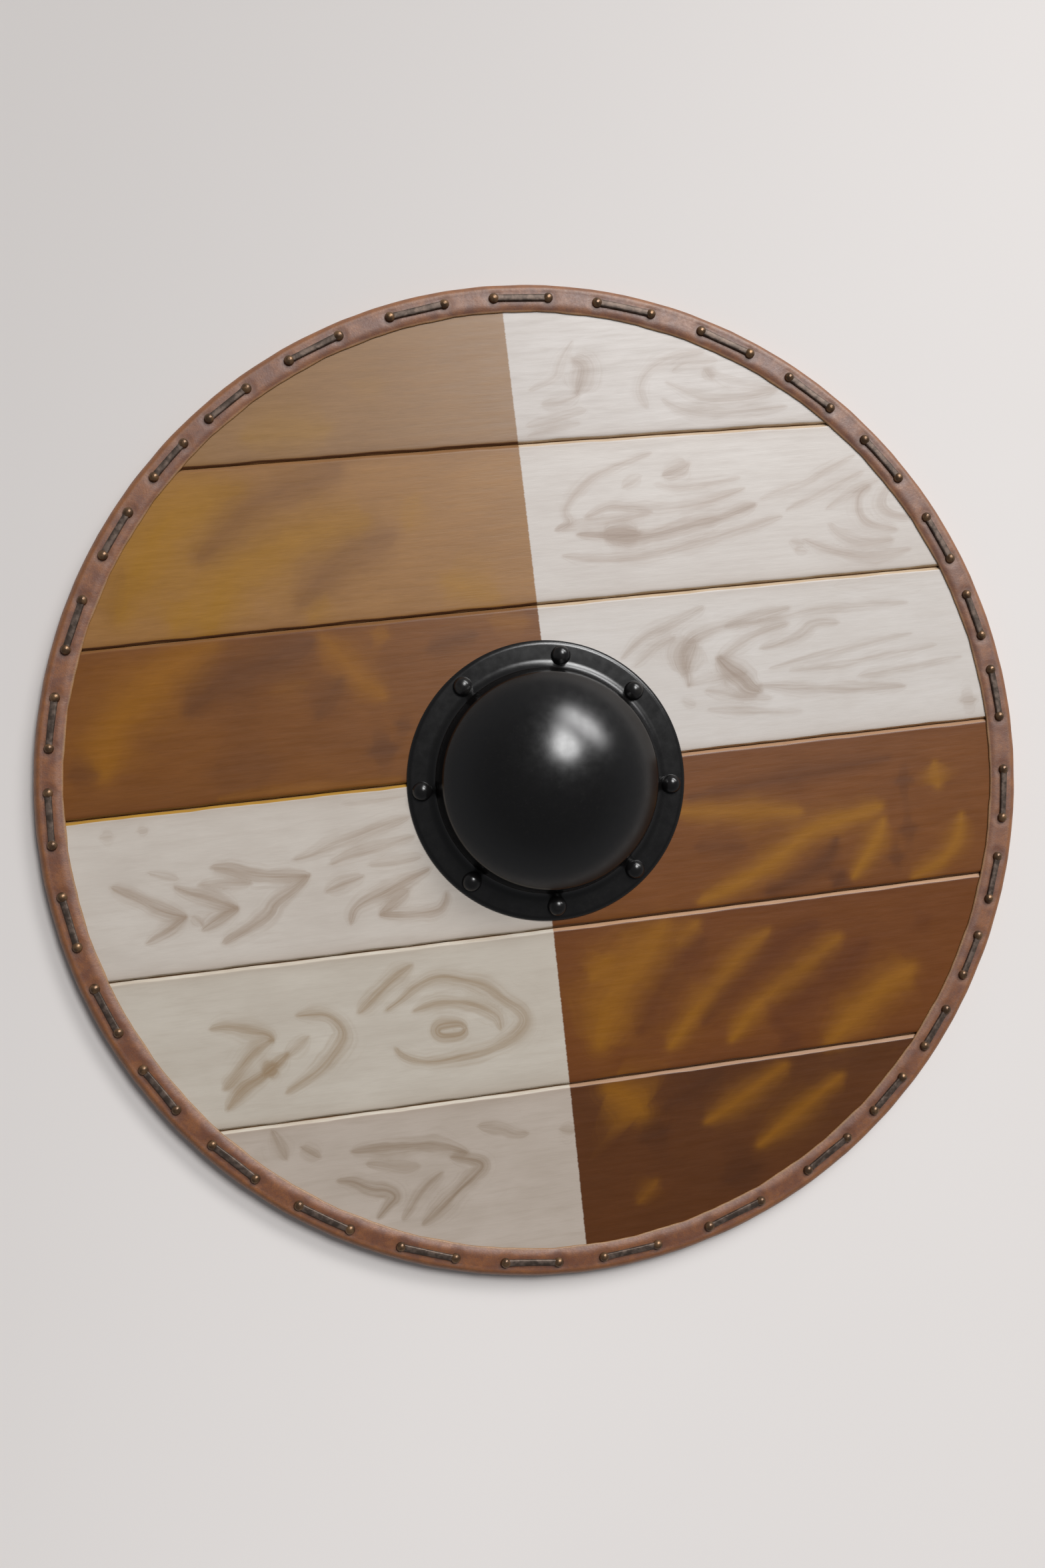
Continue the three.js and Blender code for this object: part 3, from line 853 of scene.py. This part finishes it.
def add_rim():
    section = rim_section()
    angles = np.linspace(0, 2 * math.pi, RIM_STATIONS, endpoint=False)
    loops = np.zeros((len(angles), len(section), 3))
    cut_waver = waver(angles * RIM_INNER, 2 * math.pi * RIM_INNER / 40, 0.35 * MM, 31)
    swelling = waver(angles * RIM_OUTER, 2 * math.pi * RIM_OUTER / 23, 0.25 * MM, 32)
    for j, (r, z, relief) in enumerate(section):
        inward = np.clip(1 - (r - RIM_INNER) / (2 * MM), 0, 1)
        outward = np.clip((r - CREASE) / (4 * MM), 0, 1)
        reach = r + inward * cut_waver - outward * np.abs(swelling)
        height = z - relief * (pressed(angles, np.full_like(angles, r)) + 0.4 * np.abs(swelling))
        loops[:, j] = np.stack([reach * np.cos(angles), reach * np.sin(angles), height], axis=1)
    points, quads = skin(loops, closed_round=True)
    piece = mesh_object("leather_rim", points, quads[:, ::-1], [rim_leather()], sharp=50)
    places = vertex_places(piece.data)
    r, turn = radii(places), np.arctan2(places[:, 1], places[:, 0])
    # The pressed depth also darkens the leather in the dips, as painted shade.
    add_attribute(piece.data, "pressed", pressed(turn, r) / NAIL_PRESS)
    # The fold's mask carries a painted highlight, lighter leather along the fold.
    add_attribute(piece.data, "fold", np.clip((r - CREASE) / (2 * MM), 0, 1))
    add_attribute(piece.data, "cut_edge", np.clip(1 - (r - RIM_INNER) / (1.6 * MM), 0, 1))
    finish_piece(piece, "rim_leather", "rim_leather")


def dome(radius, height, sides, rings, bed):
    """A nail head's corners and faces about its own upright line, with its foot bedded below 0."""
    profile = [(0, -bed), (0.8 * radius, -bed), (radius, -bed), (radius, 0)]
    for a in np.linspace(0, 90, rings)[1:]:
        c, s = polar(a)
        profile.append((radius * c ** 0.9 if a < 90 else 0, height * s ** 1.1))
    return turned(profile, sides)


def strap(half, bow, number):
    """An iron strap along Y, from one nail to the other, a little uneven in width."""
    side = list(STRAP_SIDE)
    section = [(-x, up) for x, up in side] + [(0, STRAP_TOP)] + side[::-1]
    loops = np.array([[(x * MM * (1 + 0.05 * math.sin(90 * y + number)) + bow * (1 - (y / half) ** 2),
                        y, up * MM) for x, up in section] for y in np.linspace(-half, half, 24)])
    points, quads = skin(loops)
    ends = [tuple(range(len(section))), tuple(len(points) - 1 - i for i in range(len(section)))]
    return points, [tuple(q) for q in quads] + ends


def add_clips():
    strap_metal = dark_metal("strap_iron", (112, 96, 86), (78, 66, 58), 0.42, 0.55)
    nail_metal = dark_metal("nail_iron", (128, 98, 70), (92, 70, 52), 0.26, 0.38)
    slope = math.atan((band_top(RIM_INNER) - band_top(CREASE)) / (CREASE - RIM_INNER))
    rng = np.random.default_rng(41)
    for number, (node, (first, last, circle)) in enumerate(zip(CLIPS, CLIP_NAILS), 1):
        middle, half = (first + last) / 2, (last - first) / 2 * circle
        parts = [strap(half, rng.uniform(-1, 1) * STRAP_BOW, number)]
        for end in (-half, half):
            head, faces = dome(HEAD_RADIUS * rng.uniform(0.93, 1.0),
                               HEAD_HEIGHT * rng.uniform(0.92, 0.99), 32, 9, 0.3 * MM)
            parts.append((head + np.array([0, end, 0]), faces))
        points, faces = joined(parts)
        kinds = [0] * len(parts[0][1]) + [1] * (len(faces) - len(parts[0][1]))
        points = points @ np.array(Matrix.Rotation(slope, 3, "Y")).T
        points += np.array([circle, 0, band_top(circle) + FIT])
        points = points @ np.array(Matrix.Rotation(middle, 3, "Z")).T
        piece = mesh_object(f"clip_{number:02d}", points, faces, [strap_metal, nail_metal], kinds, sharp=50)
        finish_piece(piece, "clip_iron", node)


# ---- Boss ----

BOSS = corners("boss")
FLANGE = radii(BOSS).max()
SHEET = 1.8 * MM
WALL_FOOT = 79.5 * MM
WALL_TOP = 75.5 * MM
WALL_HEIGHT = 17 * MM
FILLET = 1.5 * MM  # the tight bend at the wall's foot
SWEEP, SWEEP_END = 10 * MM, 38  # the gentle rise before it, and the slope where it ends
ROLL, ROLL_END = 5 * MM, 42  # the flange's edge is rolled over down to this slope
SHOULDER = 6 * MM
SHOULDER_END = 44
BOSS_SIDES = 192
RIVET_SHANK = 2.5 * MM
RIVET_HEAD_HEIGHT = 5.4 * MM
RIVET_TAIL, RIVET_TAIL_RADIUS = 1.4 * MM, 4.2 * MM
HOLE_BOTTOM, HOLE_TOP = -10 * MM, board_top(0) + 10 * MM  # how far the drills reach
BOSS_HEIGHT = BOSS[:, 2].max() - board_top(0) - FIT
WALL_LEAN = math.degrees(math.atan2(WALL_FOOT - WALL_TOP, WALL_HEIGHT))


def dome_line(depth):
    """From the top of the wall over the shoulder to the crown, a depth below the outside."""
    centre = (WALL_TOP - SHOULDER, WALL_HEIGHT)
    bend = arc(*centre, SHOULDER - depth, WALL_LEAN, SHOULDER_END, 14)
    crown = BOSS_HEIGHT - depth
    edge_r, edge_z = bend[-1]
    sagitta = crown - edge_z
    sphere = (edge_r ** 2 + sagitta ** 2) / (2 * sagitta)
    edge = math.degrees(math.acos(edge_r / sphere))
    return bend + arc(0, crown - sphere, sphere, edge, 90, 40)[1:-1] + [(0, crown)]


def boss_section():
    """From the axis over the inside of the steel, round the flange's edge and back over the dome."""
    lean = math.radians(WALL_LEAN)
    sweep_c, sweep_s = polar(SWEEP_END)
    roll_c, roll_s = polar(ROLL_END)
    fillet_z = SHEET + SWEEP * (1 - sweep_c) + FILLET * sweep_c
    fillet_r = WALL_FOOT - fillet_z * math.tan(lean) + FILLET / math.cos(lean)
    sweep_r = fillet_r + (SWEEP - FILLET) * sweep_s
    lip = 0.3 * SHEET
    edge_z = SHEET - ROLL * (1 - roll_c)
    roll_r = FLANGE - lip * (1 - roll_s) - ROLL * roll_s
    section = dome_line(SHEET)[::-1] + [(WALL_FOOT - SHEET, 0)]
    section += arc(FLANGE - lip, edge_z - lip * roll_c, lip, -60, 90 - ROLL_END, 7)
    section += arc(roll_r, SHEET - ROLL, ROLL, 90 - ROLL_END, 90, 9)[1:]
    section += arc(sweep_r, SHEET + SWEEP, SWEEP, 270, 270 - SWEEP_END, 10)
    section += arc(fillet_r, fillet_z, FILLET, 270 - SWEEP_END, 180 + WALL_LEAN, 6)[1:]
    wall_start, wall_end = section[-1], dome_line(0)[0]
    section += [tuple(np.array(wall_start) + (np.array(wall_end) - wall_start) * s)
                for s in (0.25, 0.5, 0.75)]
    section += dome_line(0)
    return [(r, z + board_top(r) + FIT) for r, z in section]


def rivet_places():
    return [tuple(corners(node).mean(0)[:2]) for node in BOSS_RIVETS]


def add_boss():
    points, faces = turned(boss_section(), BOSS_SIDES)
    piece = mesh_object("boss_shell", points, faces, [black_paint()])
    drill(piece, [(x, y, RIVET_SHANK + FIT, 0.0, HOLE_TOP, 24) for x, y in rivet_places()])
    finish_piece(piece, "boss_steel", "boss")


def add_boss_rivets():
    metal = rivet_paint()
    for number, (node, (x, y)) in enumerate(zip(BOSS_RIVETS, rivet_places()), 1):
        low, high = (v.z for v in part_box(node))
        head_radius = (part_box(node)[1].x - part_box(node)[0].x) / 2
        foot = high - RIVET_HEAD_HEIGHT
        tail = low + RIVET_TAIL
        profile = [(0, low)] + arc(RIVET_TAIL_RADIUS - MM, low + MM, MM, -90, 0, 6)
        profile += [(RIVET_TAIL_RADIUS, tail), (RIVET_SHANK, tail), (RIVET_SHANK, foot),
                    (head_radius - 0.3 * MM, foot)]
        for a in np.linspace(4, 90, 16):
            c, s = polar(a)
            profile.append((head_radius * c if a < 90 else 0, foot + RIVET_HEAD_HEIGHT * s))
        points, faces = turned(profile, 48, (x, y))
        piece = mesh_object(f"rivet_{number}", points, faces, [metal])
        finish_piece(piece, "boss_steel", node)


# ---- Grip ----

GRIP_LOW, GRIP_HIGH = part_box("grip")
GRIP_X = (GRIP_LOW.x + GRIP_HIGH.x) / 2
GRIP_HALF = (GRIP_HIGH.x - GRIP_LOW.x) / 2
NAIL_SHANK = 1.6 * MM
HOLE_STEP = HAND_HOLE - 5 * MM  # the grip drops under the boards this far from the middle


def grip_top(y):
    if abs(y) < HOLE_STEP:
        return GRIP_HIGH.z
    return board_bottom(math.hypot(y, GRIP_HALF)) - FIT


def grip_section(y):
    """The bar's section at a place along it, rounded at its corners."""
    half, low, high = GRIP_HALF, GRIP_LOW.z, grip_top(y)
    upper = min(6 * MM if abs(y) < HOLE_STEP else 0.6 * MM, (high - low) / 2.2)
    lower = min(5 * MM, (high - low) / 2.2)
    points = []
    for cx, cz, radius, start in ((half - lower, low + lower, lower, -90),
                                  (half - upper, high - upper, upper, 0),
                                  (-half + upper, high - upper, upper, 90),
                                  (-half + lower, low + lower, lower, 180)):
        points += arc(cx, cz, radius, start, start + 90, 7)
    return [(GRIP_X + x, y, z) for x, z in points]


def add_grip(holes):
    ends = GRIP_HIGH.y
    under = np.linspace(HOLE_STEP + 0.2 * MM, ends - MM, 60)
    free = np.linspace(-HOLE_STEP + 0.2 * MM, HOLE_STEP - 0.2 * MM, 40)
    stations = np.concatenate([-under[::-1], free, under])
    loops = [grip_section(y) for y in stations]
    for end, side in ((0, -1), (-1, 1)):
        shrunk = np.array(loops[end])
        middle = shrunk.mean(0)
        shrunk = middle + (shrunk - middle) * 0.9
        shrunk[:, 1] = side * ends
        loops.insert(0, shrunk) if end == 0 else loops.append(shrunk)
    around = len(loops[0])
    points, quads = skin(np.array([np.array(loop) for loop in loops]))
    faces = [tuple(q) for q in quads]
    faces.append(tuple(range(around)))
    faces.append(tuple(len(points) - 1 - i for i in range(around)))
    piece = mesh_object("grip_bar", points, faces, [bare_grip()])
    drill(piece, holes)
    finish_piece(piece, "grip_wood", "grip")


def add_grip_nails():
    metal = dark_metal("back_nail_iron", (92, 80, 68), (62, 54, 46), 0.34, 0.46)
    for number, node in enumerate(GRIP_NAILS, 1):
        low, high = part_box(node)
        x, y = (low.x + high.x) / 2, (low.y + high.y) / 2
        head = (high.x - low.x) / 2
        seat = GRIP_LOW.z - FIT
        profile = [(0, low.z), (0.35 * head, low.z + 0.04 * MM), (0.7 * head, low.z + 0.3 * MM),
                   (0.92 * head, low.z + 0.7 * MM), (head, seat), (NAIL_SHANK, seat),
                   (NAIL_SHANK, high.z - NAIL_SHANK), (0, high.z)]
        points, faces = turned(profile, 32, (x, y))
        piece = mesh_object(f"back_nail_{number}", points, faces, [metal])
        finish_piece(piece, "clip_iron", node)


# ---- Finishes ----

# Each plank's brown is the paint's own colour, made paler and greyer on the top planks as painted sheen and
# darker down to the lowest plank as painted shade.
BROWN = [  # base, ochre and dark of each plank's brown quarter
    ((142, 106, 68), (150, 110, 44), (114, 82, 52)),
    ((149, 106, 57), (152, 106, 18), (113, 74, 40)),
    ((118, 70, 22), (142, 90, 10), (86, 50, 24)),
    ((115, 65, 18), (150, 98, 10), (82, 43, 14)),
    ((108, 59, 15), (144, 92, 10), (86, 42, 12)),
    ((88, 47, 13), (142, 90, 7), (64, 32, 10)),
]
# Each plank's white is the paint's own colour, made darker on the lowest planks as painted shade.
WHITE = [  # base, shaded base and graining of each plank's white quarter
    ((198, 190, 184), (185, 175, 167), (162, 145, 132)),
    ((206, 198, 191), (194, 184, 176), (166, 147, 133)),
    ((210, 203, 197), (197, 188, 180), (166, 149, 135)),
    ((205, 196, 186), (188, 177, 166), (158, 138, 120)),
    ((200, 191, 178), (184, 173, 159), (156, 135, 110)),
    ((190, 177, 165), (172, 158, 144), (142, 122, 101)),
]
GRAIN_CORE = [  # the darkest streaks of the graining
    (138, 118, 104), (136, 114, 98), (136, 114, 98), (136, 110, 84), (138, 106, 66), (122, 98, 72),
]
STRIPS = [  # the strip along each plank's upper edge, left and right of the middle
    ((142, 106, 68), (190, 172, 154)),
    ((132, 92, 56), (206, 184, 158)),
    ((118, 76, 36), (204, 182, 154)),
    ((172, 128, 40), (170, 130, 98)),
    ((206, 198, 184), (182, 142, 110)),
    ((206, 198, 184), (172, 134, 106)),
]
LIPS = [  # the shaded edge along each plank's lower side, left and right
    ((100, 60, 30), (192, 166, 136)),
    ((98, 58, 28), (190, 164, 132)),
    ((124, 84, 32), (168, 130, 92)),
    ((176, 160, 138), (92, 54, 24)),
    ((176, 160, 138), (86, 50, 22)),
    ((140, 120, 92), (84, 48, 22)),
]


def fibres(surface, seed):
    """Streaks along the planks, coarse and fine, around 0.5."""
    shift = surface.node("Mapping", {"Vector": surface.place, "Location": (seed * 0.37, seed * 0.11, 0)})
    coarse = surface.noise(surface.node("Mapping", {"Vector": shift, "Scale": (28, 240, 1)}), detail=4)
    fine = surface.noise(surface.node("Mapping", {"Vector": shift, "Scale": (110, 1300, 1)}), detail=3)
    return coarse, fine


def quarter(surface, index):
    """1 on the right of the line where the quarters meet and 0 on the left."""
    ragged = surface.noise(surface.stretched(60, 700, 1), detail=2)
    x = surface.math("ADD", surface.split()[0], surface.times(ragged, 1.2 * MM))
    edge = (MEETING[index] + 0.6) * MM
    return surface.band(x, edge - 0.5 * MM, edge + 0.5 * MM)


def strokes_on(surface, name, along, across, dryness, low, high):
    """A family of brush strokes: its cover, broken up by bristles that run along each stroke."""
    length = surface.times(surface.attribute(name + "_along"), along)
    breadth = surface.times(surface.attribute(name + "_across"), across)
    bristles = surface.noise(surface.node("CombineXYZ", {0: length, 1: breadth}), roughness=0.6)
    dry = surface.math("ADD", surface.times(bristles, dryness), surface.attribute(name))
    return surface.band(dry, low + dryness / 2, high + dryness / 2)


def painted_front(index):
    surface = Surface(f"paint_{index + 1}")
    coarse, fine = fibres(surface, index + 1)
    broad = surface.noise(surface.stretched(16, 40, 1), detail=3)
    base, ochre, dark = (srgb(*c) for c in BROWN[index])

    brown = surface.mix(surface.spread(broad, 0.0, 0.22), base, dark)
    brown = surface.mix(strokes_on(surface, "ochre", 30, 160, 0.3, -0.05, 1.25), brown, ochre)
    brown = surface.mix(strokes_on(surface, "dark", 30, 160, 0.3, 0.0, 1.4), brown, dark)
    streaks = surface.times(surface.spread(coarse, 0.95, 1.05), surface.spread(fine, 0.94, 1.06))
    brown = surface.tone(brown, streaks)

    base, shaded, grain = (srgb(*c) for c in WHITE[index])
    white = surface.mix(surface.spread(broad, 0.0, 0.6), base, shaded)
    white = surface.mix(surface.times(surface.band(coarse, 0.45, 0.72), 0.4), white, shaded)
    body = surface.times(strokes_on(surface, "pale", 25, 420, 0.9, 0.05, 1.1), 0.9)
    white = surface.mix(body, white, grain)
    core = surface.times(strokes_on(surface, "pale", 18, 650, 1.3, 0.5, 1.3), 0.6)
    white = surface.mix(core, white, srgb(*GRAIN_CORE[index]))
    white = surface.tone(white, surface.spread(fine, 0.975, 1.02))

    right = quarter(surface, index)
    pair = (white, brown) if BROWN_SIDE[index] > 0 else (brown, white)
    colour = surface.mix(right, *pair)
    aged = surface.times(surface.attribute("joint_edge"), 0.25)
    colour = surface.mix(aged, colour, srgb(170, 130, 80), "MULTIPLY")
    return surface.finish(colour, surface.spread(coarse, 0.36, 0.44),
                          ((coarse, 0.08 * MM), (fine, 0.02 * MM)))


def strip_paint(index):
    surface = Surface(f"strip_{index + 1}", roughness=0.55)
    coarse, fine = fibres(surface, index + 20)
    colour = surface.mix(quarter(surface, index), *(srgb(*c) for c in STRIPS[index]))
    colour = surface.mix(surface.spread(coarse, 0.0, 0.3), colour, srgb(150, 114, 70))
    foot = surface.band(surface.attribute("depth"), 0.8, 1.0)
    colour = surface.mix(foot, colour, srgb(132, 96, 60))
    colour = surface.tone(colour, surface.spread(fine, 0.92, 1.06))
    return surface.finish(colour, None, ((coarse, 0.2 * MM),))


def lip_paint(index):
    surface = Surface(f"lip_{index + 1}", roughness=0.55)
    coarse, fine = fibres(surface, index + 30)
    colour = surface.mix(quarter(surface, index), *(srgb(*c) for c in LIPS[index]))
    foot = surface.band(surface.attribute("depth"), 0.65, 1.0)
    colour = surface.mix(foot, colour, srgb(122, 86, 52))
    colour = surface.tone(colour, surface.spread(fine, 0.9, 1.06))
    return surface.finish(colour, None, ((coarse, 0.2 * MM),))


def bare_board():
    surface = Surface("bare_board", roughness=0.72)
    coarse, fine = fibres(surface, 40)
    rings = surface.noise(surface.stretched(3, 60, 1), detail=2, distortion=0.6)
    colour = surface.mix(surface.band(rings, 0.35, 0.65), srgb(178, 142, 96), srgb(150, 112, 70))
    colour = surface.tone(colour, surface.spread(coarse, 0.86, 1.1))
    colour = surface.tone(colour, surface.spread(fine, 0.88, 1.06))
    return surface.finish(colour, None, ((coarse, 0.3 * MM), (fine, 0.1 * MM)))


def bare_grip():
    surface = Surface("bare_grip", roughness=0.6)
    rings = surface.noise(surface.stretched(120, 5, 120), detail=3, distortion=0.4)
    fine = surface.noise(surface.stretched(1400, 40, 1400), detail=3)
    colour = surface.mix(surface.band(rings, 0.35, 0.65), srgb(150, 112, 70), srgb(118, 82, 48))
    colour = surface.tone(colour, surface.spread(fine, 0.84, 1.08))
    return surface.finish(colour, None, ((rings, 0.2 * MM), (fine, 0.08 * MM)))


def rim_leather():
    surface = Surface("rim_leather", shine=1.2)
    pores = surface.node("TexVoronoi", {"Vector": surface.place, "Scale": 900.0}, feature="F1")
    mottle = surface.noise(surface.stretched(90, 90, 90), detail=4, roughness=0.6)
    speckle = surface.noise(surface.stretched(420, 420, 420), detail=3, roughness=0.75)
    grit = surface.noise(surface.stretched(1300, 1300, 1300), detail=2, roughness=0.8)
    colour = surface.mix(surface.band(mottle, 0.34, 0.68), srgb(106, 54, 18), srgb(138, 80, 30))
    colour = surface.mix(surface.spread(speckle, 0.0, 0.4), colour, srgb(84, 42, 18))
    # Lighter along the outer fold: a painted highlight where the fold catches the light.
    colour = surface.mix(surface.times(surface.attribute("fold"), 0.3), colour,
                         srgb(150, 96, 44))
    # Darker in the dips round the nails and straps: painted shade.
    colour = surface.mix(surface.times(surface.attribute("pressed"), 0.3), colour,
                         srgb(84, 48, 26))
    colour = surface.mix(surface.times(surface.attribute("cut_edge"), 0.6), colour,
                         srgb(168, 128, 76))
    colour = surface.tone(colour, surface.spread(grit, 0.8, 1.2))
    return surface.finish(colour, surface.spread(speckle, 0.5, 0.6),
                          ((mottle, 0.12 * MM), (speckle, 0.08 * MM), (pores, 0.03 * MM)))


def dark_metal(name, light, deep, low, high):
    surface = Surface(name, metallic=0.6)
    patch = surface.noise(surface.stretched(190, 190, 190), detail=3)
    dents = surface.noise(surface.stretched(300, 300, 300), detail=1)
    colour = surface.mix(surface.band(patch, 0.4, 0.65), srgb(*deep), srgb(*light))
    return surface.finish(colour, surface.spread(patch, low, high), ((dents, 0.15 * MM),))


def black_paint():
    surface = Surface("black_paint", shine=0.6)
    peel = surface.noise(surface.stretched(160, 160, 160), detail=2)
    wave = surface.noise(surface.stretched(22, 22, 22), detail=1)
    dust = surface.noise(surface.stretched(600, 600, 600), detail=3)
    colour = surface.mix(surface.band(dust, 0.55, 0.85), srgb(12, 11, 11), srgb(26, 24, 23))
    return surface.finish(colour, surface.spread(peel, 0.22, 0.27), ((wave, 0.25 * MM), (peel, 0.02 * MM)))


def rivet_paint():
    surface = Surface("rivet_paint")
    peel = surface.noise(surface.stretched(220, 220, 220), detail=2)
    worn = surface.noise(surface.stretched(90, 90, 90), detail=4)
    colour = surface.mix(surface.band(worn, 0.55, 0.75), srgb(20, 19, 19), srgb(40, 38, 36))
    return surface.finish(colour, surface.spread(worn, 0.18, 0.28), ((peel, 0.06 * MM),))


# ---- Floor and the end ----

FLOOR_REACH = 3.0


def add_floor():
    surface = Surface("floor", roughness=0.8)
    cloud = surface.noise(surface.stretched(3, 3, 3), detail=3)
    colour = surface.mix(surface.spread(cloud, 0.0, 0.25), srgb(235, 230, 227), srgb(230, 225, 222))
    x, y = surface.split()[:2]
    # Darker towards the corner at -X, +Y: painted shade on the floor.
    corner = surface.math("SUBTRACT", surface.times(y, 0.7), x)
    colour = surface.mix(surface.band(corner, -0.3, 0.9), colour, srgb(206, 201, 198))
    material = surface.finish(colour)
    outline = [(x * FLOOR_REACH, y * FLOOR_REACH, 0) for x, y in ((-1, -1), (1, -1), (1, 1), (-1, 1))]
    floor = mesh_object("floor", outline, [(0, 1, 2, 3)], [material])


def through_grip(hole):
    """Whether a rivet's hole runs through the grip's lower half."""
    return hole[1] < -80 * MM and abs(hole[0] - GRIP_X) < 5 * MM


hand_hole = (0.0, 0.0, HAND_HOLE, HOLE_BOTTOM, HOLE_TOP, 96)
shank_holes = [(x, y, RIVET_SHANK + FIT, HOLE_BOTTOM, HOLE_TOP, 24) for x, y in rivet_places()]
nail_holes = []
for nail in GRIP_NAILS:
    nail_low, nail_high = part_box(nail)
    nail_holes.append((GRIP_X, (nail_low.y + nail_high.y) / 2, NAIL_SHANK + FIT, HOLE_BOTTOM,
                       nail_high.z + FIT, 16))

add_planks([hand_hole] + shank_holes + nail_holes)
add_rim()
add_clips()
add_boss()
add_boss_rivets()
add_grip([hole for hole in shank_holes if through_grip(hole)] + nail_holes)
add_grip_nails()
add_floor()
add_camera()
add_light()
